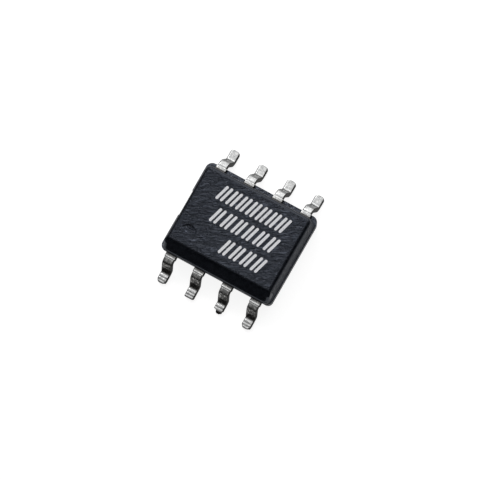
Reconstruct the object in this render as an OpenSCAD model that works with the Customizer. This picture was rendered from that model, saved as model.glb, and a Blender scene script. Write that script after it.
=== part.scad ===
// Eight-lead moulded current sensor chip with gull-wing leads.
// Millimetres. The origin is the middle of the footprint on the seating plane.
// +X runs along the lead rows, +Y points to the signal leads, +Z points up.

/* [Moulded body] */
// Length of the upper mould half along the lead rows, at the parting line
body_length = 4.9; // [4.7:0.02:5.4]
// Width of the upper mould half across the lead rows, at the parting line
body_width = 3.8; // [3.7:0.02:3.96]
// Distance that the lower mould half stands out past the upper one at each end
ledge_end = 0.04; // [0:0.01:0.06]
// Distance that the lower mould half stands out past the upper one beside the signal leads
ledge_side = 0.15; // [0:0.01:0.15]
// Height of the moulding from its underside to its top face
body_height = 1.45; // [1.3:0.01:1.6]
// Gap between the seating plane and the underside
standoff = 0.15; // [0.08:0.01:0.25]
// Draft of the side walls, in degrees from the vertical
draft = 7; // [5:1:12]
// Radius of the upright corners at the parting line
corner_radius = 0.28; // [0.27:0.01:0.4]
// Radius along the top and bottom edges
edge_radius = 0.15; // [0.04:0.01:0.15]
// Width that the bevel over the first lead row takes from the top face
bevel_width = 0.38; // [0.2:0.01:0.4]

/* [Marks in the body] */
// Diameter of the round mark beside the first lead
dimple_diameter = 0.74; // [0.5:0.02:0.8]
// Depth of the round mark
dimple_depth = 0.06; // [0.03:0.01:0.1]
// Distance from the left end of the upper mould half to the middle of the round mark
dimple_from_end = 0.8; // [0.75:0.01:1]
// Distance from the first lead row's side of the body to the middle of the round mark
dimple_from_side = 0.9; // [0.88:0.01:1.05]
// Length of the gate scar along the left end
gate_length = 1.06; // [0.6:0.02:1.4]
// Depth of the gate scar in the upper mould half, at the parting line
gate_depth = 0.05; // [0.03:0.01:0.1]
// Distance of the gate scar's middle from the middle of the left end
gate_shift = 0.15; // [0:0.01:0.3]
// Diameter of the ejector mark in the underside
ejector_diameter = 1; // [0.6:0.05:1.5]
// Depth of the ejector mark
ejector_depth = 0.04; // [0.02:0.01:0.06]

/* [Formed leads] */
// Distance between neighbouring leads in a row
lead_pitch = 1.27; // [1.2:0.01:1.3]
// Distance between the tips of the two lead rows
lead_span = 6; // [5.9:0.02:6.3]
// Width of a lead
lead_width = 0.39; // [0.31:0.01:0.45]
// Thickness of the lead frame sheet
lead_thickness = 0.2; // [0.17:0.01:0.22]
// Inside radius of both bends
bend_radius = 0.1; // [0.08:0.01:0.12]
// Lean of the leg between the bends, in degrees from the vertical
leg_lean = 18; // [5:1:20]
// Length of the flat foot that stands on the seating plane
foot_length = 0.36; // [0.28:0.01:0.38]
// Width of the stub that the cut dam bar leaves at the root of a lead
stub_width = 0.47; // [0.46:0.01:0.55]
// Distance between the cut ends of the stubs of the two lead rows
stub_span = 4.12; // [4.06:0.02:4.16]
// Straight length of a lead inside the body, before it widens
lead_root = 0.25; // [0.2:0.01:0.35]

/* [Current path] */
// Depth of the pads that join the leads of the first row in pairs
pad_depth = 0.55; // [0.4:0.01:0.7]
// Width of the slot between the two legs of the loop
loop_slot = 0.5; // [0.35:0.01:0.6]
// Width of the conductor in the loop
loop_width = 0.5; // [0.4:0.01:0.6]
// Distance from the middle of the body to the middle of the loop, towards the first lead row
loop_offset = 0.15; // [0.05:0.01:0.3]

/* [Signal leads inside the body] */
// Length of a signal lead inside the body
finger_length = 0.8; // [0.7:0.01:0.9]
// Width of the landing pad for a bond wire
landing_width = 0.6; // [0.45:0.01:0.7]
// Depth of the landing pad
landing_depth = 0.42; // [0.35:0.01:0.5]
// Distance that the landing pads of the two end leads are set towards the middle
landing_shift = 0.25; // [0.1:0.01:0.35]

/* [Sensor die] */
// Size of the die along the lead rows
die_length = 1.7; // [1.3:0.02:2]
// Size of the die across the lead rows
die_width = 1.2; // [1:0.02:1.4]
// Thickness of the die
die_thickness = 0.22; // [0.15:0.01:0.28]
// Thickness of the adhesive under the die
attach_thickness = 0.02; // [0.01:0.005:0.04]
// Distance that the adhesive reaches past the die on each side
attach_margin = 0.04; // [0.02:0.01:0.08]
// Thickness of the insulating film over the loop
film_thickness = 0.05; // [0.03:0.01:0.08]
// Distance that the film reaches past the adhesive on each side
film_margin = 0.1; // [0.05:0.01:0.15]

/* [Bond wires] */
// Diameter of a bond wire
wire_diameter = 0.03; // [0.025:0.001:0.04]
// Height of the wire's loop over the ball
wire_loop = 0.1; // [0.06:0.01:0.14]
// Diameter of the ball that is bonded to the die
ball_diameter = 0.08; // [0.06:0.01:0.1]
// Height of the ball
ball_height = 0.02; // [0.015:0.001:0.03]
// Diameter of the stitch that is bonded to the lead
stitch_diameter = 0.09; // [0.06:0.01:0.12]
// Height of the stitch
stitch_height = 0.02; // [0.015:0.001:0.03]
// Distance between neighbouring bond pads on the die
bond_pitch = 0.4; // [0.3:0.01:0.42]
// Distance from the edge of the die to the middle of a bond pad
bond_inset = 0.1; // [0.08:0.01:0.2]

/* [Hidden] */
$fn = 64;
// Room that a cutting shape reaches past the surface it cuts
cut_room = 0.1;
// Straight steps in a bend of a lead and in a rounded edge of the moulding
bend_steps = 8;
edge_steps = 4;
// Flat facets round a bond wire, its ball and its stitch
wire_facets = 12;
// Leads in each row
row_count = 4;
// Number of the signal lead at the left end of its row
first_signal = 2 * row_count;

half_length = body_length / 2;
half_width = body_width / 2;
half_height = body_height / 2;
parting_z = standoff + half_height;
top_z = standoff + body_height;
draft_inset = half_height * tan(draft);
// Length that a rounded edge takes from the faces beside it, for each unit of its radius
edge_share = tan((90 - draft) / 2);
// The drafted corners limit the radius of the edges
edge_fit = min(edge_radius, (corner_radius - draft_inset) / edge_share);
edge_run = edge_fit * edge_share;
bevel_y = half_width - draft_inset - bevel_width;

tip_y = lead_span / 2;
lead_top_z = parting_z + lead_thickness / 2;
lead_bottom_z = parting_z - lead_thickness / 2;
// Radius of the middle of the sheet in a bend, and the angle of each bend
bend_middle = bend_radius + lead_thickness / 2;
bend_outer = bend_radius + lead_thickness;
bend_angle = 90 - leg_lean;
leg_drop = lead_bottom_z - 2 * bend_middle * (1 - cos(bend_angle));
leg_length = leg_drop / sin(bend_angle);
foot_y = tip_y - foot_length;
shoulder_y = foot_y - 2 * bend_middle * sin(bend_angle) - leg_length * cos(bend_angle);
root_y = half_width - lead_root;
finger_y = half_width - finger_length;

film_z = lead_top_z;
attach_z = film_z + film_thickness;
die_z = attach_z + attach_thickness;
die_top_z = die_z + die_thickness;
bond_y = die_width / 2 - loop_offset - bond_inset;

// Points along an arc
function arc(middle, radius, start, stop, steps) = [
    for (k = [0 : steps])
        let (angle = start + (stop - start) * k / steps)
            middle + radius * [cos(angle), sin(angle)]
];
// Place along a row, counted from the left
function row_place(i) = i - (row_count - 1) / 2;
function row_x(i) = row_place(i) * lead_pitch;
function is_end(i) = i == 0 || i == row_count - 1;
function landing_x(i) = row_x(i) - (is_end(i) ? sign(row_place(i)) * landing_shift : 0);
// Place in the row of the signal lead with a given number
function signal_place(number) = first_signal - number;

// Section of one mould half from a corner's axis outwards: a drafted wall with a rounded edge
module wall_section() {
    middle = [corner_radius - draft_inset - edge_run, half_height - edge_fit];
    polygon(concat(
        [[0, 0], [corner_radius, 0]],
        arc(middle, edge_fit, draft, 90, edge_steps),
        [[0, half_height]]
    ));
}

// One half of the moulding on the parting plane, with its flat face up:
// a core, and round it the wall section turned at each corner and run straight along each side
module mould_half(length, width) {
    corner_x = length / 2 - corner_radius;
    corner_y = width / 2 - corner_radius;
    corners = [[corner_x, corner_y], [-corner_x, corner_y], [-corner_x, -corner_y], [corner_x, -corner_y]];
    sides = [2 * corner_y, 2 * corner_x, 2 * corner_y, 2 * corner_x];
    translate([-corner_x, -corner_y, 0])
        cube([2 * corner_x, 2 * corner_y, half_height]);
    for (quarter = [0 : 3])
        translate(corners[quarter])
            rotate([0, 0, 90 * quarter]) {
                rotate_extrude(angle = 90)
                    wall_section();
                rotate([90, 0, 0])
                    linear_extrude(height = sides[quarter])
                        wall_section();
            }
}

// Wedge that cuts the bevel over the first lead row
module bevel_cut() {
    reach = bevel_width + draft_inset + cut_room;
    rotate([90, 0, 90])
        linear_extrude(height = body_length + 2 * cut_room, center = true)
            polygon([
                [-bevel_y + cut_room, top_z + cut_room],
                [-bevel_y - reach, top_z + cut_room],
                [-bevel_y - reach, top_z - reach]
            ]);
}

module dimple_cut() {
    translate([dimple_from_end - half_length, dimple_from_side - half_width, top_z - dimple_depth])
        cylinder(d = dimple_diameter, h = dimple_depth + cut_room);
}

module gate_cut() {
    reach = ledge_end + cut_room;
    translate([-half_length - reach, gate_shift - gate_length / 2, standoff - cut_room])
        cube([reach + gate_depth, gate_length, body_height + 2 * cut_room]);
}

module ejector_cut() {
    translate([0, 0, standoff - cut_room])
        cylinder(d = ejector_diameter, h = cut_room + ejector_depth);
}

// The moulding before the pieces inside it are taken out: the lower half is the larger one,
// so its rim stands out as a flat ledge round the upper half, but not over the first lead row
module moulding() {
    difference() {
        union() {
            translate([0, 0, parting_z])
                mould_half(body_length, body_width);
            translate([0, ledge_side / 2, parting_z])
                mirror([0, 0, 1])
                    mould_half(body_length + 2 * ledge_end, body_width + ledge_side);
        }
        bevel_cut();
        dimple_cut();
        gate_cut();
        ejector_cut();
    }
}

// Side view of a formed lead: across the rows to the right, height up
module gull_wing_section() {
    shoulder_bend = [shoulder_y, parting_z - bend_middle];
    foot_bend = [foot_y, bend_outer];
    heel = 180 + leg_lean;
    upper = concat(
        [[root_y, lead_top_z]],
        arc(shoulder_bend, bend_outer, 90, leg_lean, bend_steps),
        arc(foot_bend, bend_radius, heel, 270, bend_steps),
        [[tip_y, lead_thickness]]
    );
    lower = concat(
        [[tip_y, 0]],
        arc(foot_bend, bend_outer, 270, heel, bend_steps),
        arc(shoulder_bend, bend_radius, leg_lean, 90, bend_steps),
        [[root_y, lead_bottom_z]]
    );
    polygon(concat(upper, lower));
}

// One formed lead of the signal row at x, from its root inside the body to its tip
module gull_wing(x) {
    translate([x, 0, 0])
        rotate([90, 0, 90])
            linear_extrude(height = lead_width, center = true)
                gull_wing_section();
    translate([x - stub_width / 2, root_y, lead_bottom_z])
        cube([stub_width, stub_span / 2 - root_y, lead_thickness]);
}

// A flat part of the lead frame, from its plan
module frame_sheet() {
    translate([0, 0, lead_bottom_z])
        linear_extrude(height = lead_thickness)
            children();
}

// Pads and loop of the current path, seen from above
module current_plan() {
    loop_inner = loop_slot / 2;
    loop_outer = loop_inner + loop_width;
    pad_reach = row_x(row_count - 1) + stub_width / 2;
    for (side = [0, 1])
        mirror([side, 0]) {
            translate([loop_inner, -root_y])
                square([pad_reach - loop_inner, pad_depth]);
            translate([loop_inner, -root_y])
                square([loop_width, root_y - loop_offset]);
        }
    translate([0, -loop_offset])
        difference() {
            circle(r = loop_outer);
            circle(r = loop_inner);
            translate([-2 * loop_outer, -2 * loop_outer])
                square([4 * loop_outer, 2 * loop_outer]);
        }
}

// Neck and landing pad of one signal lead, seen from above
module signal_plan(i) {
    translate([row_x(i) - lead_width / 2, finger_y])
        square([lead_width, root_y - finger_y]);
    translate([landing_x(i) - landing_width / 2, finger_y])
        square([landing_width, landing_depth]);
}

module primary_conductor() {
    color("#c9c9c6")
        union() {
            for (i = [0 : row_count - 1])
                mirror([0, 1, 0])
                    gull_wing(row_x(i));
            frame_sheet()
                current_plan();
        }
}

module signal_lead(number) {
    i = signal_place(number);
    color("#d2d2cf")
        union() {
            gull_wing(row_x(i));
            frame_sheet()
                signal_plan(i);
        }
}

// A flat layer of the stack over the loop
module stack_layer(length, width, bottom, height) {
    translate([-length / 2, -loop_offset - width / 2, bottom])
        cube([length, width, height]);
}

module insulating_film() {
    margin = attach_margin + film_margin;
    color("#b5762a")
        stack_layer(die_length + 2 * margin, die_width + 2 * margin, film_z, film_thickness);
}

module die_attach() {
    length = die_length + 2 * attach_margin;
    width = die_width + 2 * attach_margin;
    color("#8d9196")
        stack_layer(length, width, attach_z, attach_thickness);
}

module sensor_die() {
    color("#5a5f6b")
        stack_layer(die_length, die_width, die_z, die_thickness);
}

// A bond wire: a ball on the die, one round arc and a stitch on the lead
module bond_wire(number) {
    i = signal_place(number);
    ball = [row_place(i) * bond_pitch, bond_y];
    stitch = [landing_x(i), finger_y + landing_depth / 2];
    way = stitch - ball;
    span = norm(way);
    start_z = die_top_z + ball_height;
    stop_z = lead_top_z + wire_diameter / 2;
    // Fall from the top of the arc to its two ends, and the place of the top between them
    rise = wire_loop;
    fall = start_z + wire_loop - stop_z;
    ratio = fall / rise;
    apex = (span - sqrt(ratio * (span * span + (1 - ratio) * rise * (rise - fall)))) / (1 - ratio);
    radius = (apex * apex + rise * rise) / (2 * rise);
    start_angle = 90 + asin(apex / radius);
    stop_angle = 90 - asin((span - apex) / radius);
    color("#d9a441")
        translate([ball.x, ball.y, 0])
            rotate([0, 0, atan2(way.y, way.x)])
                union() {
                    translate([0, 0, die_top_z])
                        cylinder(d = ball_diameter, h = ball_height, $fn = wire_facets);
                    translate([apex, 0, start_z + rise - radius])
                        rotate([90, 0, 0])
                            rotate([0, 0, stop_angle])
                                rotate_extrude(angle = start_angle - stop_angle)
                                    translate([radius, 0])
                                        circle(d = wire_diameter, $fn = wire_facets);
                    translate([span, 0, lead_top_z])
                        cylinder(d = stitch_diameter, h = stitch_height, $fn = wire_facets);
                }
}

// Everything that the moulding is cast around
module inserts() {
    primary_conductor();
    insulating_film();
    die_attach();
    sensor_die();
    for (number = [first_signal - row_count + 1 : first_signal]) {
        signal_lead(number);
        bond_wire(number);
    }
}

module mould_body() {
    color("#2c2d33")
        difference() {
            moulding();
            inserts();
        }
}

mould_body();
primary_conductor();
signal_lead(5);  // signal_lead_5
signal_lead(6);  // signal_lead_6
signal_lead(7);  // signal_lead_7
signal_lead(8);  // signal_lead_8
insulating_film();
die_attach();
sensor_die();
bond_wire(5);  // bond_wire_5
bond_wire(6);  // bond_wire_6
bond_wire(7);  // bond_wire_7
bond_wire(8);  // bond_wire_8
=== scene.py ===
import math
from collections import namedtuple

import bmesh
import bpy
import numpy as np
from mathutils import Matrix, Vector, noise
from mathutils.geometry import delaunay_2d_cdt


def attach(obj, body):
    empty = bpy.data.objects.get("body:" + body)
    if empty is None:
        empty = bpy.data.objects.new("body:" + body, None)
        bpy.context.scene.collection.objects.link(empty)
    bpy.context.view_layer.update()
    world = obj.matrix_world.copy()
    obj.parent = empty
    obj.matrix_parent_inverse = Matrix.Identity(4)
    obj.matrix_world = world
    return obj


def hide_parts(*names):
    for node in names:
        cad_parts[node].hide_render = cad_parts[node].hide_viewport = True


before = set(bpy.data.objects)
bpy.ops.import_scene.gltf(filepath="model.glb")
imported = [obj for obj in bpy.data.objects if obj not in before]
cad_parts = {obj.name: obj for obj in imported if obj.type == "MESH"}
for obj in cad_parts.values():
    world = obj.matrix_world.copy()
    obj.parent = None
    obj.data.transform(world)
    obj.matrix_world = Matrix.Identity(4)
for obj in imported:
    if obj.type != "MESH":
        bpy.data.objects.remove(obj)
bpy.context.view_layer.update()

MM = 0.001

# Driving sizes in millimetres, as the part's solids have them
BODY_LENGTH, BODY_WIDTH, BODY_HEIGHT = 4.9, 3.8, 1.45
LEDGE_END, LEDGE_SIDE = 0.04, 0.15
STANDOFF = 0.15
DRAFT = math.radians(7)
CORNER_RADIUS, EDGE_RADIUS = 0.28, 0.15
DIMPLE_FROM_END, DIMPLE_FROM_SIDE = 0.8, 0.9
LEAD_PITCH, LEAD_SPAN = 1.27, 6.0
LEAD_WIDTH, LEAD_THICKNESS = 0.39, 0.2
BEND_RADIUS = 0.1
FOOT_LENGTH = 0.36
STUB_WIDTH, STUB_SPAN = 0.47, 4.12
LEAD_ROOT, PAD_DEPTH, FINGER_LENGTH = 0.25, 0.55, 0.8
LOOP_SLOT, LOOP_WIDTH, LOOP_OFFSET = 0.5, 0.5, 0.15
LANDING_WIDTH, LANDING_DEPTH, LANDING_SHIFT = 0.6, 0.42, 0.25

# Small shifts of the mould halves' edges from the solids, read from the photograph
UPPER_LEFT_IN = 0.045
LEDGE_RIGHT_IN, LEDGE_REAR_OUT, LEDGE_FRONT_IN = 0.015, 0.015, 0.006
# The pale marks stand on the top face, so it lies below the part's full height by as much
MARK_HEIGHT = 0.003

# Places that follow from these sizes
END_X, SIDE_Y, HALF_HEIGHT = BODY_LENGTH / 2, BODY_WIDTH / 2, BODY_HEIGHT / 2
BOTTOM_Z, PARTING_Z, TOP_Z = STANDOFF, STANDOFF + HALF_HEIGHT, STANDOFF + BODY_HEIGHT
FACE_Z = TOP_Z - MARK_HEIGHT
DIMPLE = (DIMPLE_FROM_END - END_X, DIMPLE_FROM_SIDE - SIDE_Y)
ROOT_Y, FINGER_Y, STUB_Y = SIDE_Y - LEAD_ROOT, SIDE_Y - FINGER_LENGTH, STUB_SPAN / 2

# Distances from the middle to the axes of the upright corners of each mould half
Half = namedtuple("Half", "left right rear front")
AXIS_X, AXIS_Y = END_X - CORNER_RADIUS, SIDE_Y - CORNER_RADIUS
UPPER = Half(AXIS_X - UPPER_LEFT_IN, AXIS_X, AXIS_Y, AXIS_Y)
LOWER = Half(AXIS_X + LEDGE_END, AXIS_X + LEDGE_END - LEDGE_RIGHT_IN,
             AXIS_Y + LEDGE_SIDE + LEDGE_REAR_OUT, AXIS_Y - LEDGE_FRONT_IN)


def smooth_step(start, end, value):
    """Smooth change from 0 at start to 1 at end; end may be the smaller one."""
    t = min(1.0, max(0.0, (value - start) / (end - start)))
    return t * t * (3 - 2 * t)


def smooth_min(a, b, room):
    """The smaller of two values, blended where they differ by less than room."""
    t = max(room - abs(a - b), 0.0) / room
    return min(a, b) - t * t * room / 4


def wobble(x, y, z):
    """Smooth noise from -1 to 1, the same in each run."""
    return noise.noise(Vector((x, y, z)))


def build(name, points, faces, marks, sharp):
    """A mesh object from points in millimetres, with outward faces and named values on its points."""
    mesh = bpy.data.meshes.new(name)
    mesh.from_pydata([[c * MM for c in p] for p in points], [], faces)
    for key, values in marks.items():
        mesh.attributes.new(key, "FLOAT", "POINT").data.foreach_set("value", np.array(values, np.float32))
    work = bmesh.new()
    work.from_mesh(mesh)
    bmesh.ops.recalc_face_normals(work, faces=work.faces)
    for face in work.faces:
        face.smooth = True
    work.to_mesh(mesh)
    work.free()
    mesh.set_sharp_from_angle(angle=math.radians(sharp))
    piece = bpy.data.objects.new(name, mesh)
    bpy.context.scene.collection.objects.link(piece)
    return piece


class Shape:
    """Points, faces and point values of one piece while it is put together."""

    def __init__(self, *keys):
        self.points, self.faces = [], []
        self.marks = {key: [] for key in keys}

    def add(self, points, **values):
        """Adds points with one value, or a list of values, for each key; returns their numbers."""
        first = len(self.points)
        self.points += [tuple(p) for p in points]
        for key, kept in self.marks.items():
            value = values.get(key, 0.0)
            kept += list(value) if hasattr(value, "__len__") else [value] * len(points)
        return list(range(first, len(self.points)))

    def bridge(self, lower, upper):
        """A band of faces between two closed rings of as many points."""
        count = len(lower)
        for k in range(count):
            n = (k + 1) % count
            self.faces.append((lower[k], lower[n], upper[n], upper[k]))

    def prism(self, outline, low, high):
        """An upright solid from its plan and the heights of its ends."""
        lower = self.add([(x, y, low) for x, y in outline])
        upper = self.add([(x, y, high) for x, y in outline])
        self.bridge(lower, upper)
        self.faces += [tuple(lower), tuple(upper)]

    def make(self, name, sharp=40):
        return build(name, self.points, self.faces, self.marks, sharp)


# The moulded body

# Distance of the bevel's upper edge from the middle, and radius of that edge
BEVEL_Y, BEVEL_ROUNDING = 1.43, 0.06
# The bevel ends in the front wall between these heights
BEVEL_FOOT_Z = (1.06, 1.14)
# Slope of the front wall under the bevel, room in which both blend, and least depth of a front corner
FRONT_SLOPE, FRONT_BLEND, LEAST_CORNER = 0.02, 0.05, 0.035
# Ends of the gate scar along the left end, width of its sides, and its depth
GATE_START, GATE_END, GATE_SIDE, GATE_DEPTH = -0.4, 0.7, 0.07, 0.082
# Round marks from the outside in: radius, depth, and how smooth the dimple or how worn the ejector mark is
DIMPLE_PROFILE = [(0.39, 0, 0), (0.387, 0.002, 0.6), (0.38, 0.01, 1), (0.37, 0.026, 1), (0.36, 0.042, 1),
                  (0.35, 0.058, 1), (0.34, 0.072, 1), (0.33, 0.079, 0.7), (0.315, 0.081, 0.3),
                  (0.27, 0.081, 0.3), (0.2, 0.081, 0.3), (0.1, 0.081, 0.3)]
EJECTOR_PROFILE = [(0.53, 0, 0), (0.51, 0.001, 0.3), (0.5, 0.006, 0.5), (0.494, 0.03, 0), (0.485, 0.037, 0),
                   (0.46, 0.04, 0), (0.2, 0.04, 0)]
# Direction in which the dimple is deepest
DIMPLE_DEEP_WAY = math.radians(97)
LEDGE_SMOOTHNESS = 0.7
# Steps along the long sides, the short sides, a corner, the straight wall and the rounded edge
LONG_STEPS, SHORT_STEPS, TURN_STEPS, WALL_STEPS, EDGE_STEPS = 56, 64, 9, 25, 13


def bevel_reach(z):
    """How far the bevel lets the body reach to the front at a height; its upper edge is rounded."""
    depth = FACE_Z - z
    if depth < BEVEL_ROUNDING * (1 - math.cos(math.pi / 4)):
        turn = math.acos(1 - depth / BEVEL_ROUNDING)
        return BEVEL_Y + BEVEL_ROUNDING * (math.sin(turn) - math.tan(math.pi / 8))
    return BEVEL_Y + depth


def bevel_share(y, z):
    """1 on the bevel, 0 on the top face behind it and on the front wall under it."""
    return smooth_step(0.05 - BEVEL_Y, -BEVEL_Y, y) * smooth_step(*BEVEL_FOOT_Z, z)


def gate_limit(y, z):
    """Furthest that the left end reaches, with the broken face that the gate leaves."""
    from_front = smooth_step(GATE_START, GATE_START + GATE_SIDE, y)
    from_rear = smooth_step(GATE_END, GATE_END - GATE_SIDE, y)
    coarse = 0.012 * wobble(9 * y, 7 * z, 3.1)
    fine = 0.006 * wobble(31 * y, 27 * z, 8.7)
    return from_front * from_rear * (GATE_DEPTH + coarse + fine) - END_X - LEDGE_END


def body_ring(reach, z, half):
    """Outline of a mould half at one height, counterclockwise from the right end of the rear side.

    Its walls stand out past the axes of the corners by reach.
    """
    front = half.front + reach
    if half is UPPER:
        # The bevel runs down to a nearly upright front wall
        wall = half.front + CORNER_RADIUS - FRONT_SLOPE * (z - PARTING_Z)
        front = smooth_min(wall, bevel_reach(z), FRONT_BLEND)
    front_axis = min(half.front, front - LEAST_CORNER)
    length, depth = half.left + half.right, half.rear + front_axis
    outline = []

    def corner(x, y, reach_y, start):
        for k in range(TURN_STEPS):
            angle = math.radians(start + 90 * k / TURN_STEPS)
            outline.append((x + reach * math.cos(angle), y + reach_y * math.sin(angle), z))

    for k in range(LONG_STEPS):
        outline.append((half.right - length * k / LONG_STEPS, half.rear + reach, z))
    corner(-half.left, half.rear, reach, 90)
    for k in range(SHORT_STEPS):
        y = half.rear - depth * k / SHORT_STEPS
        outline.append((max(-half.left - reach, gate_limit(y, z)), y, z))
    corner(-half.left, -front_axis, front - front_axis, 180)
    for k in range(LONG_STEPS):
        outline.append((length * k / LONG_STEPS - half.left, -front, z))
    corner(half.right, -front_axis, front - front_axis, 270)
    for k in range(SHORT_STEPS):
        outline.append((half.right + reach, depth * k / SHORT_STEPS - front_axis, z))
    corner(half.right, half.rear, reach, 0)
    return outline


def wall_stations():
    """Wall of a mould half, from the parting plane to its flat end.

    Each station is the wall's reach past the corners' axes, its distance from the parting plane and the wear
    of the rounded edge.
    """
    straight = HALF_HEIGHT - EDGE_RADIUS * (1 - math.sin(DRAFT))
    middle = CORNER_RADIUS - HALF_HEIGHT * math.tan(DRAFT) - EDGE_RADIUS * math.tan((math.pi / 2 - DRAFT) / 2)
    heights = np.linspace(0, straight, WALL_STEPS + 1)
    stations = [(CORNER_RADIUS - height * math.tan(DRAFT), height, 0.0) for height in heights]
    for angle in np.linspace(DRAFT, math.pi / 2, EDGE_STEPS + 1)[1:]:
        height = HALF_HEIGHT - EDGE_RADIUS * (1 - math.sin(angle))
        stations.append((middle + EDGE_RADIUS * math.cos(angle), height, math.sin(2 * angle)))
    return stations


def round_mark(shape, middle, z, profile, down, key, deep_way=None, segments=64):
    """A round blind mark in a flat face; returns the points of its outer edge.

    down is 1 in the top face and -1 in the underside. The profile's third value goes to the points under key.
    Where deep_way is given, the mark is deepest on that side and fades out on the other.
    """
    outer_radius = profile[0][0]
    rings = []
    for radius, depth, value in profile:
        points, values = [], []
        for k in range(segments):
            angle = 2 * math.pi * k / segments
            share = 1.0
            if deep_way is not None:
                share = ((1 + radius / outer_radius * math.cos(angle - deep_way)) / 2)**4
            x = middle[0] + radius * math.cos(angle)
            y = middle[1] + radius * math.sin(angle)
            points.append((x, y, z - down * depth * share))
            values.append(value * share)
        rings.append(shape.add(points, **{key: values}))
    for outer, inner in zip(rings, rings[1:]):
        shape.bridge(outer, inner)
    shape.faces.append(tuple(rings[-1]))
    return rings[0]


def flat_face(shape, rim, hole, z):
    """Closes a flat end of the body between its outline and a round mark.

    A narrow border inside the outline keeps the values of the rounded edge from spreading over the face.
    """
    border_x, border_y = 0.995, 0.993
    inside_only, least_gap = 1, 1e-7
    outline = [shape.points[i] for i in rim]
    middle = (max(y for _, y, _ in outline) + min(y for _, y, _ in outline)) / 2
    inner = shape.add([(x * border_x, middle + (y - middle) * border_y, z) for x, y, _ in outline])
    shape.bridge(rim, inner)
    used = inner + hole
    flat = [Vector(shape.points[i][:2]) for i in used]
    count = len(inner)
    loops = [list(range(count)), list(range(count, len(used)))]
    _, _, triangles, origin, _, _ = delaunay_2d_cdt(flat, [], loops, inside_only, least_gap)
    in_hole = set(hole)
    for triangle in triangles:
        corners = tuple(used[origin[i][0]] for i in triangle)
        if not all(c in in_hole for c in corners):
            shape.faces.append(corners)


def make_body():
    """The moulding; its ledge, bevel and rounded edges are smoother than its flat faces and walls."""
    shape = Shape("edge", "smooth")
    squeeze = (FACE_Z - PARTING_Z) / HALF_HEIGHT
    rings = []
    for reach, height, worn in reversed(wall_stations()):
        smooth = LEDGE_SMOOTHNESS if height == 0 else 0.0
        rings.append(shape.add(body_ring(reach, PARTING_Z - height, LOWER), edge=worn, smooth=smooth))
    for reach, height, worn in wall_stations():
        ring = body_ring(reach, PARTING_Z + height * squeeze, UPPER)
        least = LEDGE_SMOOTHNESS if height == 0 else smooth_step(0.0, 0.5, worn)
        smooth = [max(bevel_share(y, z), least) for _, y, z in ring]
        rings.append(shape.add(ring, edge=worn, smooth=smooth))
    for lower, upper in zip(rings, rings[1:]):
        shape.bridge(lower, upper)
    dimple = round_mark(shape, DIMPLE, FACE_Z, DIMPLE_PROFILE, 1, "smooth", DIMPLE_DEEP_WAY)
    flat_face(shape, rings[-1], dimple, FACE_Z)
    ejector = round_mark(shape, (0, 0), BOTTOM_Z, EJECTOR_PROFILE, -1, "edge")
    flat_face(shape, rings[0], ejector, BOTTOM_Z)
    return shape.make("moulded_body", 50)


# The formed leads

# Stretches of a lead, from inside the body to the tip
ROOT, SHOULDER, UPPER_BEND, LEG, LOWER_BEND, FOOT = range(6)
# Where the shoulder begins, and the places along the root before it
SHOULDER_Y = 1.94
ROOT_STATIONS = (1.63, 1.8, 1.86, 1.88, 1.9, 1.92)
# Shares of the leg's length, closer together across its painted highlight band
LEG_STATIONS = (0.05, 0.15, 0.25, 0.31, 0.35, 0.41, 0.45, 0.5, 0.6, 0.7, 0.8, 0.9, 1.0)
SHOULDER_STEPS, BEND_STEPS, FOOT_STEPS = 26, 16, 40
# Room that keeps the tips and the undersides of the feet inside the box of the solids
TIP_GAP, SEAT_GAP = 0.003, 0.001
# Radius along the edges of a tip, and least width there
TIP_EDGE, TIP_WIDTH = 0.03, 0.12
# The forming tool leaves the front row a ridge on its stubs, wider legs and feet that are cut shorter
STUB_RIDGE, LEG_SPREAD, FRONT_FOOT_CUT = 0.006, 0.035, 0.04
# Depth of the groove where the cut stub ends
STUB_GROOVE = 0.004
# How far the painted highlight band across a front leg takes the wear and painted shade back, and how dark
# the painted shade below it is
LEG_PAINTED_HIGHLIGHT, LEG_PAINTED_SHADE = 0.4, 0.72
# Share of the front row's wear and painted shade that the rear row has, and its wear and painted shade on the
# stubs
REAR_WEAR_AND_SHADE, REAR_STUB_WEAR_AND_SHADE = 0.12, 0.22
# Darkening of the roots next to the body: how dark it gets, where it starts and where it is full
FRONT_ROOT_DARKENING, REAR_ROOT_DARKENING = (0.95, 1.98, 1.91), (0.9, 1.97, 1.93)

# Form of one lead: fall of the shoulder, the leg, the heel and the toe and size of the foot's ridges in
# degrees; rounding of the tip, how bare its cut end is, how far that reaches, and the width of the cut end
Form = namedtuple("Form", "slope fall heel toe ridges tip_round bare bare_length nib", defaults=[LEAD_WIDTH])
FRONT_LEADS = [
    Form(6, 72, -8, 7, 10, 0.14, 0.6, 0.025),
    Form(6, 70, -8, 7, 10, 0.03, 0.9, 0.03),
    Form(6, 71, -8, 7, 10, 0.09, 1.0, 0.13, nib=0.24),
    Form(6, 71, -8, 6, 9, 0.14, 0.6, 0.025),
]
REAR_LEADS = [
    Form(3, 73, 0, 1, 0.5, 0.12, 0.8, 0.03),
    Form(3, 72, 0, 1, 0.5, 0.11, 0.8, 0.03),
    Form(3, 74, 0, 1, 0.5, 0.12, 0.8, 0.03),
    Form(3, 73, 0, 1, 0.5, 0.12, 0.8, 0.03),
]


def foot_tilt(heel, toe, ridges, t):
    """Fall of the foot at a share of its length: it rises at the heel, is crowned and has ridges."""
    crown = heel + (toe - heel) * (0.9 * smooth_step(0.0, 0.17, t) + 0.1 * t)
    ridge_turn, ridge_start = 17, 0.6
    return crown - ridges * math.sin(ridge_turn * t + ridge_start) * smooth_step(0.12, 0.25, t)


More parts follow.
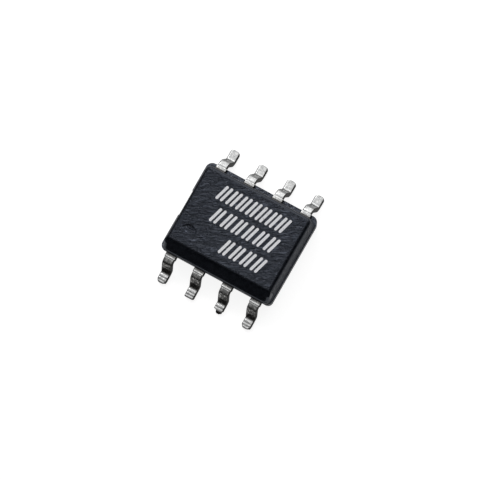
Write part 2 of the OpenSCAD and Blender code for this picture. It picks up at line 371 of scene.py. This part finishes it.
def lead_path(form, foot):
    """Middle line of a gull-wing lead from inside the body to its tip: across, height, fall, stretch.

    The lengths of the shoulder and the leg follow from where the foot lies.
    """
    slope, fall, heel, toe, ridges = (math.radians(angle) for angle in form[:5])
    radius = BEND_RADIUS + LEAD_THICKNESS / 2
    tilts = [foot_tilt(heel, toe, ridges, (k + 0.5) / FOOT_STEPS) for k in range(FOOT_STEPS)]
    ahead = foot * np.cumsum([0] + [math.cos(tilt) / FOOT_STEPS for tilt in tilts])
    down = foot * np.cumsum([0] + [math.sin(tilt) / FOOT_STEPS for tilt in tilts])
    last = foot_tilt(heel, toe, ridges, 1.0)
    end_y = LEAD_SPAN / 2 - TIP_GAP - LEAD_THICKNESS / 2 * abs(math.sin(last))
    end_z = LEAD_THICKNESS / 2 * math.cos(last) + SEAT_GAP
    bends_y = radius * (2 * math.sin(fall) - math.sin(slope) - math.sin(heel))
    bends_z = radius * (math.cos(slope) + math.cos(heel) - 2 * math.cos(fall))
    room = [end_y - SHOULDER_Y - ahead[-1] - bends_y, PARTING_Z - end_z - down[-1] - bends_z]
    system = [[math.cos(slope), math.cos(fall)], [math.sin(slope), math.sin(fall)]]
    shoulder, leg = np.linalg.solve(system, room)
    path = [(y, PARTING_Z, 0.0, ROOT) for y in ROOT_STATIONS]
    path.append((SHOULDER_Y, PARTING_Z, slope, SHOULDER))

    def straight(length, shares, angle, stretch):
        y, z = path[-1][:2]
        for t in shares:
            path.append((y + length * t * math.cos(angle), z - length * t * math.sin(angle), angle, stretch))

    def bend(turn_radius, before, after, stretch):
        y, z = path[-1][:2]
        for k in range(1, BEND_STEPS + 1):
            angle = before + (after - before) * k / BEND_STEPS
            path.append((y + turn_radius * (math.sin(angle) - math.sin(before)),
                         z - turn_radius * (math.cos(before) - math.cos(angle)), angle, stretch))

    straight(shoulder, [k / SHOULDER_STEPS for k in range(1, SHOULDER_STEPS + 1)], slope, SHOULDER)
    bend(radius, slope, fall, UPPER_BEND)
    straight(leg, LEG_STATIONS, fall, LEG)
    bend(-radius, fall, heel, LOWER_BEND)
    y, z = path[-1][:2]
    for k in range(1, FOOT_STEPS + 1):
        path.append((y + ahead[k], z - down[k], foot_tilt(heel, toe, ridges, k / FOOT_STEPS), FOOT))
    return path


def lead_section(width, thick, upper=0.045, lower=0.02, turns=5, flats=6):
    """Outline of a stamped lead across its length, with a rolled upper edge, from the right round the top."""
    half, rise = width / 2, thick / 2
    most = 0.9 * min(half, rise)
    upper, lower = min(upper, most), min(lower, most)
    outline = []

    def corner(x, v, radius, start):
        for k in range(turns + 1):
            angle = math.radians(start + 90 * k / turns)
            outline.append((x + radius * math.cos(angle), v + radius * math.sin(angle)))

    corner(half - upper, rise - upper, upper, 0)
    for k in range(1, flats):
        outline.append(((half - upper) * (1 - 2 * k / flats), rise))
    corner(-half + upper, rise - upper, upper, 90)
    corner(-half + lower, -rise + lower, lower, 180)
    for k in range(1, flats):
        outline.append(((half - lower) * (2 * k / flats - 1), -rise))
    corner(half - lower, -rise + lower, lower, 270)
    return outline


def lead_width(x, y, side, along):
    """Width of a lead at a place along it, with the stub at its root and the spread leg of the front row."""
    spread = LEG_SPREAD if side < 0 else 0.0
    uneven = 0.005 * wobble(4 * x, 6 * y + 9 * side, 1.3)
    width = LEAD_WIDTH + uneven + spread * smooth_step(1.8, 0.8, along)
    return width + (STUB_WIDTH - LEAD_WIDTH - spread) * smooth_step(STUB_Y + 0.008, STUB_Y - 0.004, y)


def rounded_end(left, radius):
    """How far a rounded end draws an edge in, at a distance from that end."""
    if left >= radius:
        return 0.0
    return radius - math.sqrt(max(radius**2 - (radius - left)**2, 0.0))


def stub_nick(y, side):
    """How far the upper face lies lower near the end of the stub: a groove, and a ridge in the front row."""
    groove = smooth_step(STUB_Y - 0.015, STUB_Y + 0.002, y) * smooth_step(STUB_Y + 0.035, STUB_Y + 0.018, y)
    ridge = smooth_step(STUB_Y - 0.08, STUB_Y - 0.015, y) * smooth_step(STUB_Y + 0.006, STUB_Y - 0.015, y)
    return STUB_GROOVE * groove - (STUB_RIDGE * ridge if side < 0 else 0.0)


def root_darkening(y, side):
    """How far the root is darkened next to the body."""
    cover, start, full = FRONT_ROOT_DARKENING if side < 0 else REAR_ROOT_DARKENING
    return cover * smooth_step(start, full, y)


def wear_and_painted_shade(side, y, fall, stretch):
    """How far the plating is worn and darkened with painted shade: on the formed stretches of the front row,
    faintly on the rear row.
    """
    on_stub = 0.0
    if stretch >= LOWER_BEND:
        worn = smooth_step(10, 50, fall)
    else:
        past_stub = smooth_step(STUB_Y - 0.015, STUB_Y + 0.015, y)
        to_bend = smooth_step(STUB_Y + 0.06, STUB_Y + 0.24, y)
        at_body = smooth_step(STUB_Y - 0.06, STUB_Y - 0.08, y)
        on_stub = smooth_step(STUB_Y, STUB_Y - 0.02, y)
        worn = max(0.5 * past_stub + 0.5 * to_bend, 0.5 * at_body)
    return worn if side < 0 else REAR_WEAR_AND_SHADE * worn + REAR_STUB_WEAR_AND_SHADE * on_stub


def add_lead(shape, x, side, form):
    """One formed lead at x; side is 1 for the rear row and -1 for the front row.

    Its points get how far they lie on a side face, which takes painted shade, how worn they are, with painted
    shade on the wear, and how far they take the dark of bare tips, darkened roots and painted shade on the
    front legs.
    """
    path = lead_path(form, FOOT_LENGTH - (FRONT_FOOT_CUT if side < 0 else 0.0))
    tip = path[-1][0]
    leg = [y for y, _, _, stretch in path if stretch == LEG]
    rings = []
    for y, z, angle, stretch in path:
        left, along, fall = tip - y, (y - leg[0]) / (leg[-1] - leg[0]), math.degrees(angle)
        width, thick = lead_width(x, y, side, along), LEAD_THICKNESS
        nick = stub_nick(y, side) if stretch == SHOULDER else 0.0
        narrow, cut = 0.0, root_darkening(y, side)
        if stretch == FOOT:
            in_nib = smooth_step(form.bare_length + 0.02, form.bare_length - 0.03, left)
            narrow = (LEAD_WIDTH - form.nib) * in_nib
            width -= narrow + 2 * rounded_end(left, form.tip_round)
            thick -= rounded_end(left, TIP_EDGE)
            cut = max(cut, form.bare * smooth_step(form.bare_length, 0.6 * form.bare_length, left))
        worn = wear_and_painted_shade(side, y, fall, stretch)
        if side < 0 and stretch in (LEG, LOWER_BEND):
            # A painted highlight band across the leg where the painted shade is lifted, and painted shade
            # below it
            worn *= 1 - LEG_PAINTED_HIGHLIGHT * smooth_step(0.2, 0.28, along) * smooth_step(0.44, 0.36, along)
            cut = max(cut, LEG_PAINTED_SHADE * smooth_step(0.4, 0.47, along) * smooth_step(30, 45, fall))
        points, side_shade_shares = [], []
        for u, v in lead_section(max(width, TIP_WIDTH), thick):
            # Points on the side faces get a share of painted shade
            below_top = smooth_step(0.5, 0.48, v / thick)
            side_shade_shares.append(below_top * smooth_step(width / 2 - 0.05, width / 2 - 0.02, abs(u)))
            v -= nick if v > 0 else 0.0
            # A narrower cut end lies a little off the lead's middle
            points.append((x + u + narrow / 4, side * (y + v * math.sin(angle)), z + v * math.cos(angle)))
        rings.append(shape.add(points, side=side_shade_shares, worn=worn, cut=cut))
    for lower, upper in zip(rings, rings[1:]):
        shape.bridge(lower, upper)
    shape.faces.append(tuple(rings[0]))
    end = shape.add([shape.points[i] for i in rings[-1]], cut=form.bare)
    shape.faces.append(tuple(end))


def add_sheet(shape, outline):
    """A flat part of the lead frame inside the body, from its plan."""
    shape.prism(outline, PARTING_Z - LEAD_THICKNESS / 2, PARTING_Z + LEAD_THICKNESS / 2)


def row_x(place):
    """Middle of a lead from its place in the row, 0 to 3 from the left."""
    return (place - 1.5) * LEAD_PITCH


def signal_number(place):
    """Number of a signal lead: the leads count on round the body, so the rear row runs from 8 to 5."""
    return 8 - place


def loop_outline():
    """Plan of the two pads and the current loop between them."""
    inner, outer = LOOP_SLOT / 2, LOOP_SLOT / 2 + LOOP_WIDTH
    pad_y, reach = PAD_DEPTH - ROOT_Y, row_x(3) + STUB_WIDTH / 2
    half_turn = np.linspace(0, math.pi, 33)
    outline = [(-reach, -ROOT_Y), (-inner, -ROOT_Y)]
    outline += [(-inner * math.cos(a), inner * math.sin(a) - LOOP_OFFSET) for a in half_turn]
    outline += [(inner, -ROOT_Y), (reach, -ROOT_Y), (reach, pad_y), (outer, pad_y)]
    outline += [(outer * math.cos(a), outer * math.sin(a) - LOOP_OFFSET) for a in half_turn]
    outline += [(-outer, pad_y), (-reach, pad_y)]
    return outline


def finger_outline(place):
    """Plan of the neck and the landing pad of one signal lead."""
    half, pad, top = LEAD_WIDTH / 2, LANDING_WIDTH / 2, FINGER_Y + LANDING_DEPTH
    x = row_x(place)
    if place in (1, 2):
        return [(x - pad, FINGER_Y), (x + pad, FINGER_Y), (x + pad, top), (x + half, top), (x + half, ROOT_Y),
                (x - half, ROOT_Y), (x - half, top), (x - pad, top)]
    # The pads of the two end leads are set towards the middle
    way = 1 if place == 0 else -1
    near, far = x - way * half, x + way * (LANDING_SHIFT + pad)
    return [(near, FINGER_Y), (far, FINGER_Y), (far, top), (x + way * half, top), (x + way * half, ROOT_Y),
            (near, ROOT_Y)]


def make_primary():
    shape = Shape("side", "worn", "cut")
    for place, form in enumerate(FRONT_LEADS):
        add_lead(shape, row_x(place), -1, form)
    add_sheet(shape, loop_outline())
    return shape.make("formed_primary_conductor")


def make_signal(place):
    shape = Shape("side", "worn", "cut")
    add_lead(shape, row_x(place), 1, REAR_LEADS[place])
    add_sheet(shape, finger_outline(place))
    return shape.make(f"formed_signal_lead_{signal_number(place)}")


# Pale marks on the top face: plain slanted strokes in three rows, two strokes to a cell

# Middle of the first and the last cell, place of the row across the part, and number of cells
MARK_ROWS = [(-1.16, 1.48, 1.085, 7), (-0.945, 1.473, 0.2, 6), (-0.01, 1.424, -0.74, 4)]
# How deep the strokes are rooted in the top face, and how far they stay below the part's full height
MARK_ROOT, MARK_GAP = 0.004, 0.0005
STROKES_APART = 0.2


def stroke_outline(x, y, stroke=0.115, tall=0.66, lean=0.16, turns=6):
    """Plan of one slanted stroke with round ends, from its middle."""
    top = Vector((x + lean / 2, y + (tall - stroke) / 2))
    bottom = Vector((x - lean / 2, y - (tall - stroke) / 2))
    along = math.atan2(top.y - bottom.y, top.x - bottom.x)
    outline = []
    for middle, start in ((top, along - math.pi / 2), (bottom, along + math.pi / 2)):
        for k in range(turns + 1):
            angle = start + math.pi * k / turns
            u, v = stroke / 2 * math.cos(angle), stroke / 2 * math.sin(angle)
            outline.append((middle.x + u, middle.y + v))
    return outline


def make_marks():
    shape = Shape()
    for first, last, y, cells in MARK_ROWS:
        for cell in range(cells):
            middle = first + (last - first) * cell / (cells - 1)
            for x in (middle - STROKES_APART / 2, middle + STROKES_APART / 2):
                shape.prism(stroke_outline(x, y), FACE_Z - MARK_ROOT, TOP_Z - MARK_GAP)
    return shape.make("surface_marks", 30)


# Materials


class Paint:
    """A material under construction: its nodes, with coordinates in millimetres."""

    # Places of the colour sockets of a Mix node
    COLOUR_A, COLOUR_B, COLOUR_RESULT = 6, 7, 2

    def __init__(self, name):
        self.material = bpy.data.materials.new(name)
        self.material.use_nodes = True
        self.tree = self.material.node_tree
        self.tree.nodes.clear()
        self.shader = self.node("ShaderNodeBsdfPrincipled")
        output = self.node("ShaderNodeOutputMaterial")
        self.link(self.shader.outputs["BSDF"], output.inputs["Surface"])
        self.place = self.node("ShaderNodeTexCoord").outputs["Object"]

    def node(self, kind, **settings):
        made = self.tree.nodes.new(kind)
        for key, value in settings.items():
            setattr(made, key, value)
        return made

    def link(self, source, target):
        self.tree.links.new(source, target)

    def noise(self, per_mm, detail=3.0, rough=0.55, twist=0.0, turn=0.0):
        """Noise with so many features a millimetre along each axis, its axes turned about the upright."""
        mapping = self.node("ShaderNodeMapping", vector_type="TEXTURE")
        mapping.inputs["Rotation"].default_value = (0, 0, math.radians(turn))
        mapping.inputs["Scale"].default_value = [MM / s for s in per_mm]
        self.link(self.place, mapping.inputs["Vector"])
        texture = self.node("ShaderNodeTexNoise")
        texture.inputs["Scale"].default_value = 1.0
        texture.inputs["Detail"].default_value = detail
        texture.inputs["Roughness"].default_value = rough
        texture.inputs["Distortion"].default_value = twist
        self.link(mapping.outputs["Vector"], texture.inputs["Vector"])
        return texture.outputs["Fac"]

    def span(self, value, low, high, to_low=0.0, to_high=1.0):
        """A value taken from one range to another and held at its ends."""
        node = self.node("ShaderNodeMapRange")
        for key, number in (("From Min", low), ("From Max", high), ("To Min", to_low), ("To Max", to_high)):
            node.inputs[key].default_value = number
        self.link(value, node.inputs["Value"])
        return node.outputs["Result"]

    def join(self, operation, a, b):
        """Two values added or multiplied."""
        node = self.node("ShaderNodeMath", operation=operation)
        for socket, value in zip(node.inputs, (a, b)):
            self.link(value, socket)
        return node.outputs["Value"]

    def mark(self, name):
        """A value that the points of the mesh carry."""
        return self.node("ShaderNodeAttribute", attribute_name=name).outputs["Fac"]

    def mix(self, share, a, b):
        """Colour a with a share of colour b; either is a constant or comes from a node."""
        node = self.node("ShaderNodeMix", data_type="RGBA")
        self.link(share, node.inputs["Factor"])
        for socket, value in ((node.inputs[self.COLOUR_A], a), (node.inputs[self.COLOUR_B], b)):
            if isinstance(value, tuple):
                socket.default_value = (*value, 1)
            else:
                self.link(value, socket)
        return node.outputs[self.COLOUR_RESULT]

    def bump(self, height, depth_mm, under=None):
        node = self.node("ShaderNodeBump")
        node.inputs["Strength"].default_value = 1.0
        node.inputs["Distance"].default_value = depth_mm * MM
        self.link(height, node.inputs["Height"])
        if under is not None:
            self.link(under, node.inputs["Normal"])
        return node.outputs["Normal"]

    def finish(self, colour, roughness, normal, **constants):
        """Links what varies to the shader and sets what is the same all over on its sockets."""
        for socket, value in (("Base Color", colour), ("Roughness", roughness), ("Normal", normal)):
            self.link(value, self.shader.inputs[socket])
        for key, value in constants.items():
            self.shader.inputs[key.replace("_", " ")].default_value = value
        return self.material


def mould_compound():
    """Black compound with creases and specks, smooth where the mould was polished; the creases carry painted
    highlight on their crests and painted shade in their troughs besides their own tone.
    """
    painted_crease_shade, painted_crease_highlight, speck = (0.0015, 0.002, 0.0034), (0.041, 0.048, 0.0645), (0.062, 0.069, 0.088)
    polished, rubbed = (0.0018, 0.0023, 0.0038), (0.02, 0.021, 0.025)
    paint = Paint("mould_compound")
    grain = paint.noise((22, 22, 22), 2.0, 0.6)
    creases = paint.noise((3.4, 12.5, 9.0), 3.0, 0.6, 0.7, turn=28)
    patches = paint.noise((1.3, 1.3, 1.3), 2.0)
    smooth = paint.mark("smooth")
    textured = paint.span(smooth, 0.0, 1.0, 1.0, 0.01)
    edge = paint.join("MULTIPLY", paint.mark("edge"), paint.span(creases, 0.45, 0.7))
    # Painted highlight and shade: the tone follows the creases' height, lighter on crests and darker in
    # troughs, besides the compound's own grain
    tone = paint.mix(paint.span(creases, 0.36, 0.64), painted_crease_shade, painted_crease_highlight)
    tone = paint.mix(paint.span(grain, 0.53, 0.68, 0.0, 0.6), tone, speck)
    tone = paint.mix(paint.span(smooth, 0.0, 1.0, 0.0, 0.8), tone, polished)
    tone = paint.mix(paint.span(edge, 0.0, 1.0, 0.0, 0.2), tone, rubbed)
    rough = paint.span(grain, 0.3, 0.7, 0.29, 0.39)
    rough = paint.join("ADD", rough, paint.span(patches, 0.35, 0.65, -0.03, 0.03))
    rough = paint.join("ADD", rough, paint.span(smooth, 0.0, 1.0, 0.0, -0.24))
    normal = paint.bump(paint.join("MULTIPLY", paint.span(creases, 0.36, 0.64), textured), 0.075)
    normal = paint.bump(paint.join("MULTIPLY", grain, textured), 0.006, normal)
    # The rounded edges reflect less than the rest
    reflection = paint.span(paint.mark("edge"), 0.0, 1.0, 0.82, 0.36)
    paint.link(reflection, paint.shader.inputs["Specular IOR Level"])
    return paint.finish(tone, rough, normal, Specular_Tint=(0.76, 0.83, 1.0, 1.0))


def tinned_copper():
    """Tin plating with scuffs and flecks, worn and darkened with painted shade on the formed stretches, with
    painted shade on its side faces, bare tips and darkened roots.
    """
    tin_low, tin_high = (0.47, 0.475, 0.475), (0.58, 0.585, 0.585)
    painted_shade_tone, scored_tone, side_painted_shade = (0.068, 0.066, 0.063), (0.34, 0.335, 0.325), (0.05, 0.049, 0.047)
    mottle, fleck, bare = (0.26, 0.26, 0.255), (0.75, 0.745, 0.73), (0.012, 0.01, 0.009)
    paint = Paint("tinned_copper")
    grain = paint.noise((30, 30, 30), 2.0)
    drawn = paint.noise((40, 5, 5), 3.0, 0.6)
    scuffs = paint.noise((7, 13, 11), 3.0, 0.65, 0.8)
    flecks = paint.noise((12, 12, 12), 2.0, 0.6)
    worn = paint.mark("worn")
    rubbed = paint.join("MULTIPLY", worn, paint.span(scuffs, 0.66, 0.5, 0.7, 1.0))
    scored = paint.join("MULTIPLY", paint.span(drawn, 0.54, 0.66), paint.span(worn, 0.0, 1.0, 0.12, 0.3))
    bright = paint.join("MULTIPLY", paint.span(flecks, 0.54, 0.6), paint.span(worn, 0.0, 1.0, 0.5, 0.85))
    tone = paint.mix(paint.span(grain, 0.3, 0.7), tin_low, tin_high)
    # Painted shade: the worn mask darkens the tin almost to black on the formed stretches, standing in for
    # dark reflections
    tone = paint.mix(paint.span(rubbed, 0.0, 1.0, 0.0, 0.95), tone, painted_shade_tone)
    tone = paint.mix(scored, tone, scored_tone)
    tone = paint.mix(paint.span(flecks, 0.47, 0.38, 0.0, 0.4), tone, mottle)
    tone = paint.mix(bright, tone, fleck)
    # Painted shade on the side faces of the leads
    tone = paint.mix(paint.span(paint.mark("side"), 0.0, 1.0, 0.0, 0.9), tone, side_painted_shade)
    # Bare tips, darkened roots and the painted shade on the front legs
    tone = paint.mix(paint.mark("cut"), tone, bare)
    rough = paint.span(scuffs, 0.3, 0.7, 0.19, 0.31)
    rough = paint.join("ADD", rough, paint.span(worn, 0.0, 1.0, 0.0, -0.06))
    normal = paint.bump(drawn, 0.0008)
    normal = paint.bump(scuffs, 0.006, normal)
    normal = paint.bump(grain, 0.0008, normal)
    return paint.finish(tone, rough, normal, Metallic=1.0, Specular_Tint=(0.5, 0.5, 0.5, 1.0))


def pale_mark():
    """Pale print with a fine grain and a few worn patches."""
    dull, bright, worn = (0.74, 0.74, 0.77), (0.96, 0.96, 0.99), (0.3, 0.3, 0.33)
    paint = Paint("pale_mark")
    grain = paint.noise((45, 45, 45), 3.0, 0.7)
    patches = paint.noise((9, 9, 9), 2.0)
    tone = paint.mix(paint.span(grain, 0.35, 0.65), dull, bright)
    tone = paint.mix(paint.span(patches, 0.62, 0.78, 0.0, 0.5), tone, worn)
    return paint.finish(tone, paint.span(grain, 0.3, 0.7, 0.7, 0.85), paint.bump(grain, 0.002))


def plain_inner(name, dark, light, roughness, metallic, per_mm, depth):
    """A plain material of the inside: one grain from dark to light that also roughens it."""
    paint = Paint(name)
    grain = paint.noise((per_mm,) * 3, 3.0)
    tone = paint.mix(paint.span(grain, 0.3, 0.7), dark, light)
    rough = paint.span(grain, 0.3, 0.7, roughness - 0.06, roughness + 0.06)
    return paint.finish(tone, rough, paint.bump(grain, depth), Metallic=metallic)


# Colours from dark to light, roughness, metal, grains a millimetre and depth of the grain, by material slot
INNER_LOOKS = {
    "amber_film": ((0.42, 0.16, 0.03), (0.55, 0.24, 0.05), 0.3, 0.0, 8, 0.001),
    "adhesive": ((0.24, 0.25, 0.26), (0.34, 0.35, 0.36), 0.55, 0.0, 40, 0.002),
    "silicon": ((0.09, 0.1, 0.13), (0.13, 0.14, 0.18), 0.22, 0.3, 12, 0.0005),
    "gold_wire": ((0.78, 0.5, 0.16), (0.88, 0.6, 0.24), 0.22, 1.0, 60, 0.0008),
}
INNER_NODES = {
    "amber_film": ["insulating_film"],
    "adhesive": ["die_attach"],
    "silicon": ["sensor_die"],
    "gold_wire": ["bond_wire_5", "bond_wire_6", "bond_wire_7", "bond_wire_8"],
}


# The pieces in their materials


def dress(piece, material):
    piece.data.materials.clear()
    piece.data.materials.append(material)


body = make_body()
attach(body, "root")
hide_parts("mould_body")
dress(body, mould_compound())

marks = make_marks()
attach(marks, "root")
dress(marks, pale_mark())

tin = tinned_copper()
primary = make_primary()
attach(primary, "root")
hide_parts("primary_conductor")
dress(primary, tin)
for place in range(len(REAR_LEADS)):
    lead = make_signal(place)
    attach(lead, "root")
    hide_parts(f"signal_lead_{signal_number(place)}")
    dress(lead, tin)

for slot, nodes in INNER_NODES.items():
    material = plain_inner(slot, *INNER_LOOKS[slot])
    for node in nodes:
        dress(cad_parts[node], material)


# Floor, light and camera

# Half the floor's side, in metres as the lights are, and its grey
FLOOR_HALF, FLOOR_GREY = 0.6, 0.3
# Glow that the floor shows to each kind of ray, beside the light that it scatters
FLOOR_GLOW = {"Is Camera Ray": 0.88, "Is Glossy Ray": 0.36, "Is Transmission Ray": 0.36}
WORLD_LEVEL = 0.03
# The photograph's view: direction and roll in degrees, scale, and where the origin lies in the image
AZIMUTH, ELEVATION, ROLL = 56.35, 75.85, -27.22
PIXELS_PER_MM, IMAGE_SIZE, ORIGIN_PX = 25.669, 480, (240.9, 240.55)
LENS, SENSOR = 600, 36


def make_floor():
    mesh = bpy.data.meshes.new("floor")
    corners = [(x * FLOOR_HALF, y * FLOOR_HALF, 0) for x, y in ((-1, -1), (1, -1), (1, 1), (-1, 1))]
    mesh.from_pydata(corners, [], [(0, 1, 2, 3)])
    floor = bpy.data.objects.new("floor", mesh)
    bpy.context.scene.collection.objects.link(floor)
    material = bpy.data.materials.new("floor")
    material.use_nodes = True
    tree = material.node_tree
    tree.nodes.clear()
    output = tree.nodes.new("ShaderNodeOutputMaterial")
    diffuse = tree.nodes.new("ShaderNodeBsdfDiffuse")
    diffuse.inputs["Color"].default_value = (FLOOR_GREY, FLOOR_GREY, FLOOR_GREY, 1)
    glow = tree.nodes.new("ShaderNodeEmission")
    rays = tree.nodes.new("ShaderNodeLightPath")
    total = None
    for ray, amount in FLOOR_GLOW.items():
        scaled = tree.nodes.new("ShaderNodeMath")
        scaled.operation = "MULTIPLY_ADD"
        scaled.inputs[1].default_value = amount
        tree.links.new(rays.outputs[ray], scaled.inputs[0])
        if total is None:
            scaled.inputs[2].default_value = 0.0
        else:
            tree.links.new(total, scaled.inputs[2])
        total = scaled.outputs["Value"]
    tree.links.new(total, glow.inputs["Strength"])
    both = tree.nodes.new("ShaderNodeAddShader")
    tree.links.new(diffuse.outputs["BSDF"], both.inputs[0])
    tree.links.new(glow.outputs["Emission"], both.inputs[1])
    tree.links.new(both.outputs["Shader"], output.inputs["Surface"])
    mesh.materials.append(material)


def area_light(name, width, depth, radiance):
    """A rectangular lamp that shines down; radiance 1 shows white in a mirror."""
    data = bpy.data.lights.new(name, "AREA")
    data.shape = "RECTANGLE"
    data.size, data.size_y = width, depth
    data.energy = radiance * math.pi * width * depth
    lamp = bpy.data.objects.new(name, data)
    bpy.context.scene.collection.objects.link(lamp)
    return lamp


def soft_light(name, azimuth, elevation, distance, size, radiance):
    """A square soft light that faces the part, from its direction in degrees."""
    turn, rise = math.radians(azimuth), math.radians(elevation)
    way = Vector((math.sin(turn) * math.cos(rise), -math.cos(turn) * math.cos(rise), math.sin(rise)))
    lamp = area_light(name, size, size, radiance)
    lamp.location = way * distance
    lamp.rotation_mode = "QUATERNION"
    lamp.rotation_quaternion = way.to_track_quat("Z", "Y")


def level_panel(name, low, high, z, radiance):
    """A level panel over the part, from its two corners in plan and its height."""
    lamp = area_light(name, high[0] - low[0], high[1] - low[1], radiance)
    lamp.location = ((low[0] + high[0]) / 2, (low[1] + high[1]) / 2, z)


def wall_panel(name, low, high, y, radiance):
    """An upright panel in front of the part or behind it, from two corners in x and z and its place."""
    lamp = area_light(name, high[0] - low[0], high[1] - low[1], radiance)
    lamp.location = ((low[0] + high[0]) / 2, y, (low[1] + high[1]) / 2)
    lamp.rotation_euler = (math.copysign(math.pi / 2, -y), 0, 0)


def make_world():
    world = bpy.data.worlds.new("world")
    world.use_nodes = True
    background = world.node_tree.nodes.get("Background")
    background.inputs["Color"].default_value = (1, 1, 1, 1)
    background.inputs["Strength"].default_value = WORLD_LEVEL
    bpy.context.scene.world = world


def make_camera():
    """The photograph's view: nearly overhead, turned about its own axis, through a long lens."""
    turn, rise, roll = math.radians(AZIMUTH), math.radians(ELEVATION), math.radians(ROLL)
    back = Vector((math.sin(turn) * math.cos(rise), -math.cos(turn) * math.cos(rise), math.sin(rise)))
    level = Vector((math.cos(turn), math.sin(turn), 0))
    upright = back.cross(level)
    right = math.cos(roll) * level + math.sin(roll) * upright
    up = math.cos(roll) * upright - math.sin(roll) * level
    data = bpy.data.cameras.new("camera")
    data.lens, data.sensor_width = LENS, SENSOR
    data.clip_start, data.clip_end = 0.01, 10
    distance = IMAGE_SIZE / PIXELS_PER_MM * MM * LENS / SENSOR
    middle = right * (IMAGE_SIZE / 2 - ORIGIN_PX[0]) + up * (ORIGIN_PX[1] - IMAGE_SIZE / 2)
    camera = bpy.data.objects.new("camera", data)
    bpy.context.scene.collection.objects.link(camera)
    axes = Matrix((right, up, back)).transposed().to_4x4()
    camera.matrix_world = Matrix.Translation(middle * (MM / PIXELS_PER_MM) + back * distance) @ axes
    bpy.context.scene.camera = camera


make_floor()
level_panel("top_panel", (-0.3, -0.01), (0.13, 0.15), z=0.4, radiance=1.0)
level_panel("rear_panel", (-0.38, 0.15), (0.2, 0.9), z=0.4, radiance=1.6)
wall_panel("rear_wall", (-0.7, 0.01), (0.5, 0.4), y=0.9, radiance=1.5)
level_panel("front_fill", (-0.5, -0.4), (0.3, -0.02), z=0.4, radiance=0.3)
wall_panel("front_wall", (-0.7, 0.4), (0.5, 0.9), y=-0.9, radiance=0.16)
soft_light("left_softbox", azimuth=238, elevation=46, distance=0.6, size=0.3, radiance=3.5)
make_world()
make_camera()
bpy.context.scene.view_settings.view_transform = "Standard"
